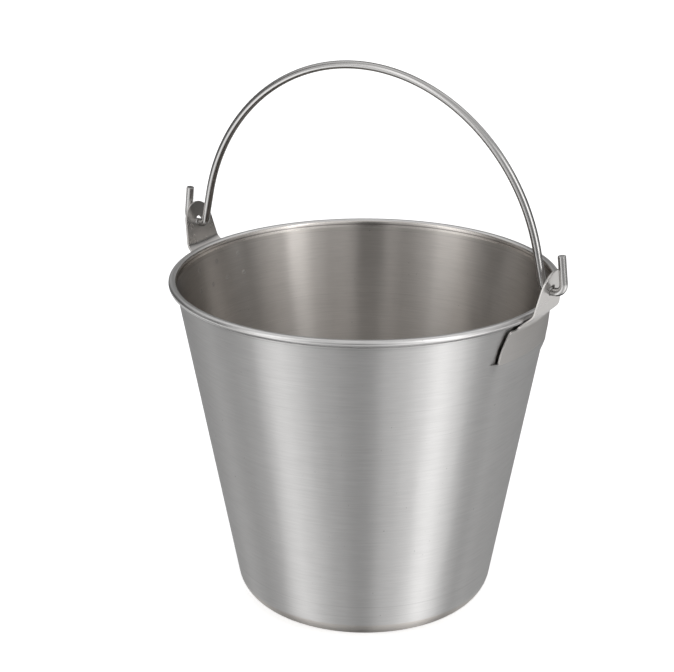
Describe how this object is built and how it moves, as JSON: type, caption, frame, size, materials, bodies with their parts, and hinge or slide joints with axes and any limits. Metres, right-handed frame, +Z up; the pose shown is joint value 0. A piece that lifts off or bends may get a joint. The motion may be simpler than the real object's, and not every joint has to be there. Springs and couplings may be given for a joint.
{
  "type": "milk pail",
  "caption": "Tapered drawn-steel milk pail with a rolled rim, welded ears and a hinged round-wire bail with hooked ends.",
  "frame": {"origin": "centre of the pail's resting face, on the floor", "axes": "+Z up along the pail's axis; the two ears lie on +X and -X, and the bail swings about a line parallel to X"},
  "size_m": [0.3494, 0.305, 0.4347],
  "materials": {
    "shell_steel": "fine circumferential brush, satin",
    "ear_steel": "satin, as rolled",
    "weld_steel": "dull spot-weld marks",
    "seam_steel": "ground and brushed",
    "wire_steel": "drawn wire, semi-bright"
  },
  "bodies": {
    "pail": {"pail_body": "shell_steel", "ear_right": "ear_steel", "ear_left": "ear_steel", "spot_welds_right": "weld_steel", "spot_welds_left": "weld_steel", "seam_weld_right": "seam_steel", "seam_weld_left": "seam_steel"},
    "bail": {"bail_handle": "wire_steel"}
  },
  "joints": [
    {"name": "bail_swing", "type": "hinge", "parent": "pail", "child": "bail", "pos_m": [0, 0, 0.2835], "axis": [1, 0, 0], "range_deg": [-94.8, 94.8]}
  ]
}
